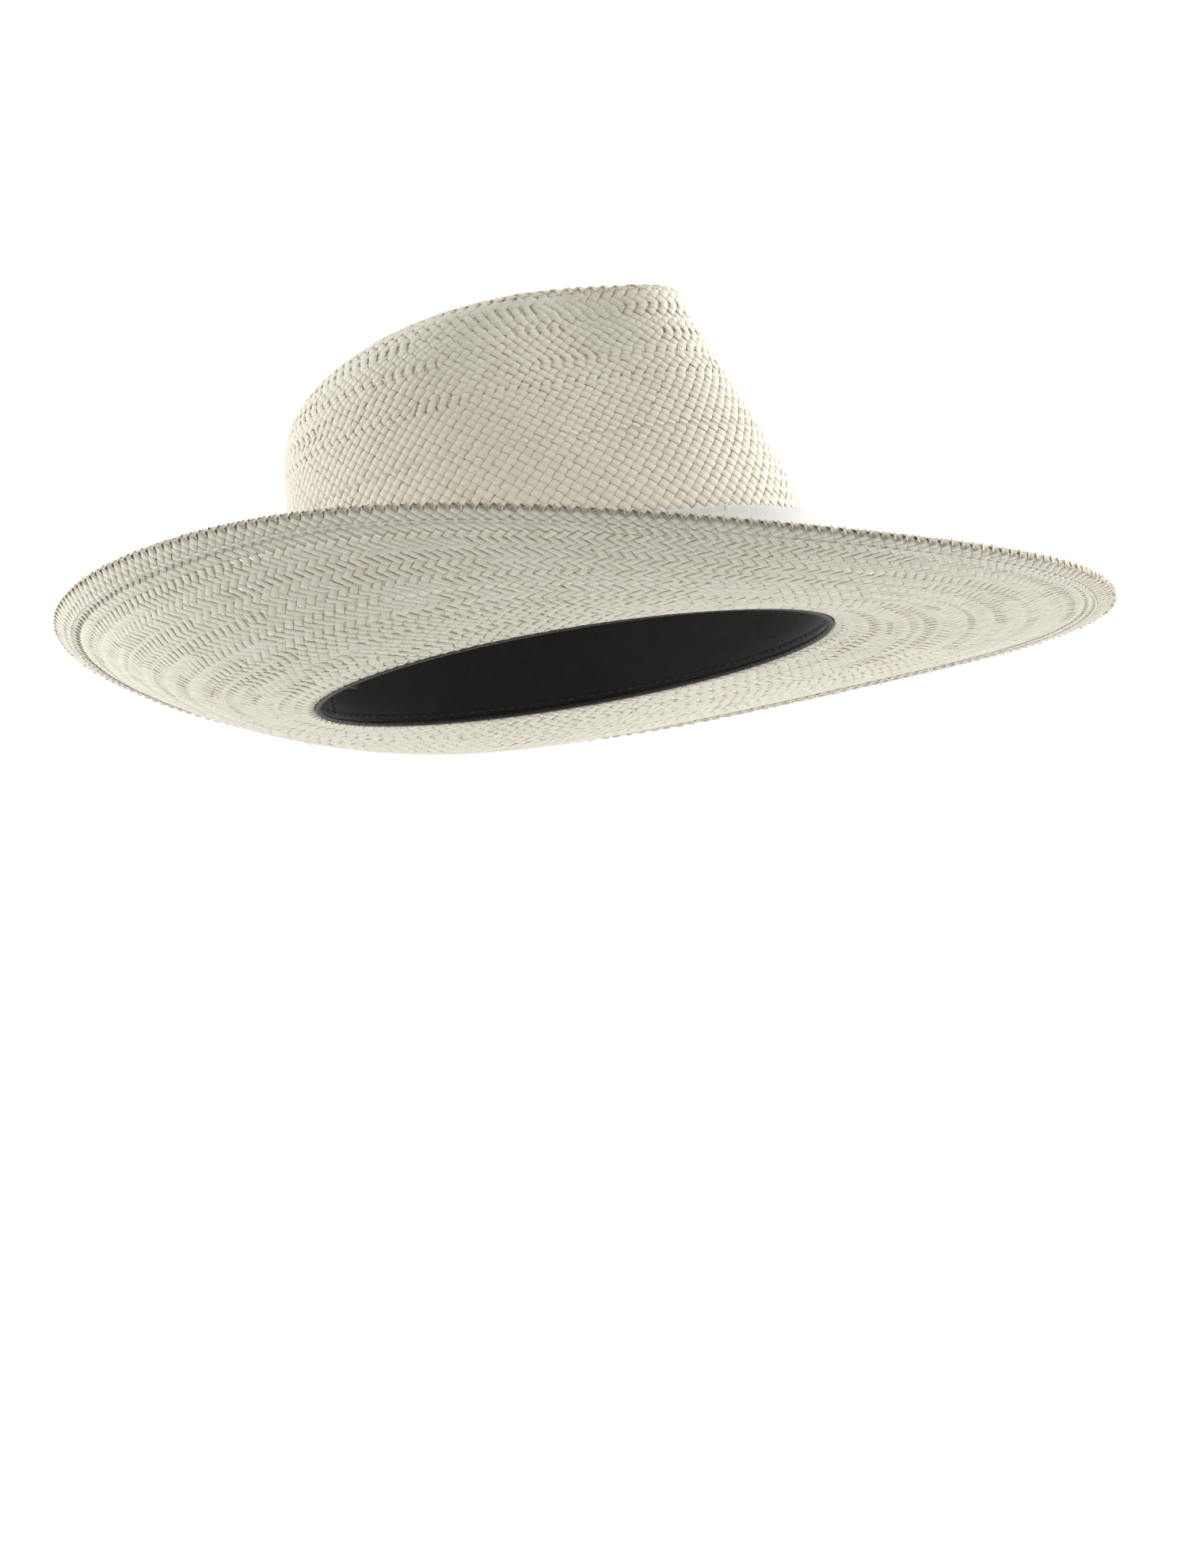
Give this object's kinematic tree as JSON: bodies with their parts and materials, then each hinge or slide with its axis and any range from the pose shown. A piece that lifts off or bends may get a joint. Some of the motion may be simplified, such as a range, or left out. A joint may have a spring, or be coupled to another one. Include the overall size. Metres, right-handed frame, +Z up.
{
  "type": "panama hat",
  "caption": "Wide-brimmed woven straw hat with a teardrop crown pinched at the front, a stitched hem, a white ribbon band with a flat bow and a black sweatband.",
  "frame": {"origin": "centre of the head opening, in the plane where the crown meets the brim", "axes": "+Z up through the crown, -Y the front of the hat, +X the wearer's left"},
  "size_m": [0.3598, 0.4, 0.1415],
  "materials": {
    "straw": "woven ivory toquilla straw, satin",
    "thread": "off-white sewing thread",
    "ribbon": "white grosgrain ribbon, fine cross ribs",
    "sweatband": "black woven band, matt",
    "reed": "dark piping",
    "dark_thread": "black sewing thread"
  },
  "bodies": {
    "root": {"straw_body": "straw", "hem_needle_thread": "thread", "hem_bobbin_thread": "thread", "ribbon_band": "ribbon", "ribbon_bow": "ribbon", "ribbon_knot": "ribbon", "ribbon_tacks": "thread", "sweatband": "sweatband", "sweatband_reed": "reed", "sweatband_stitching": "thread", "sweatband_seam": "dark_thread", "sweatband_bow": "reed"}
  },
  "joints": []
}
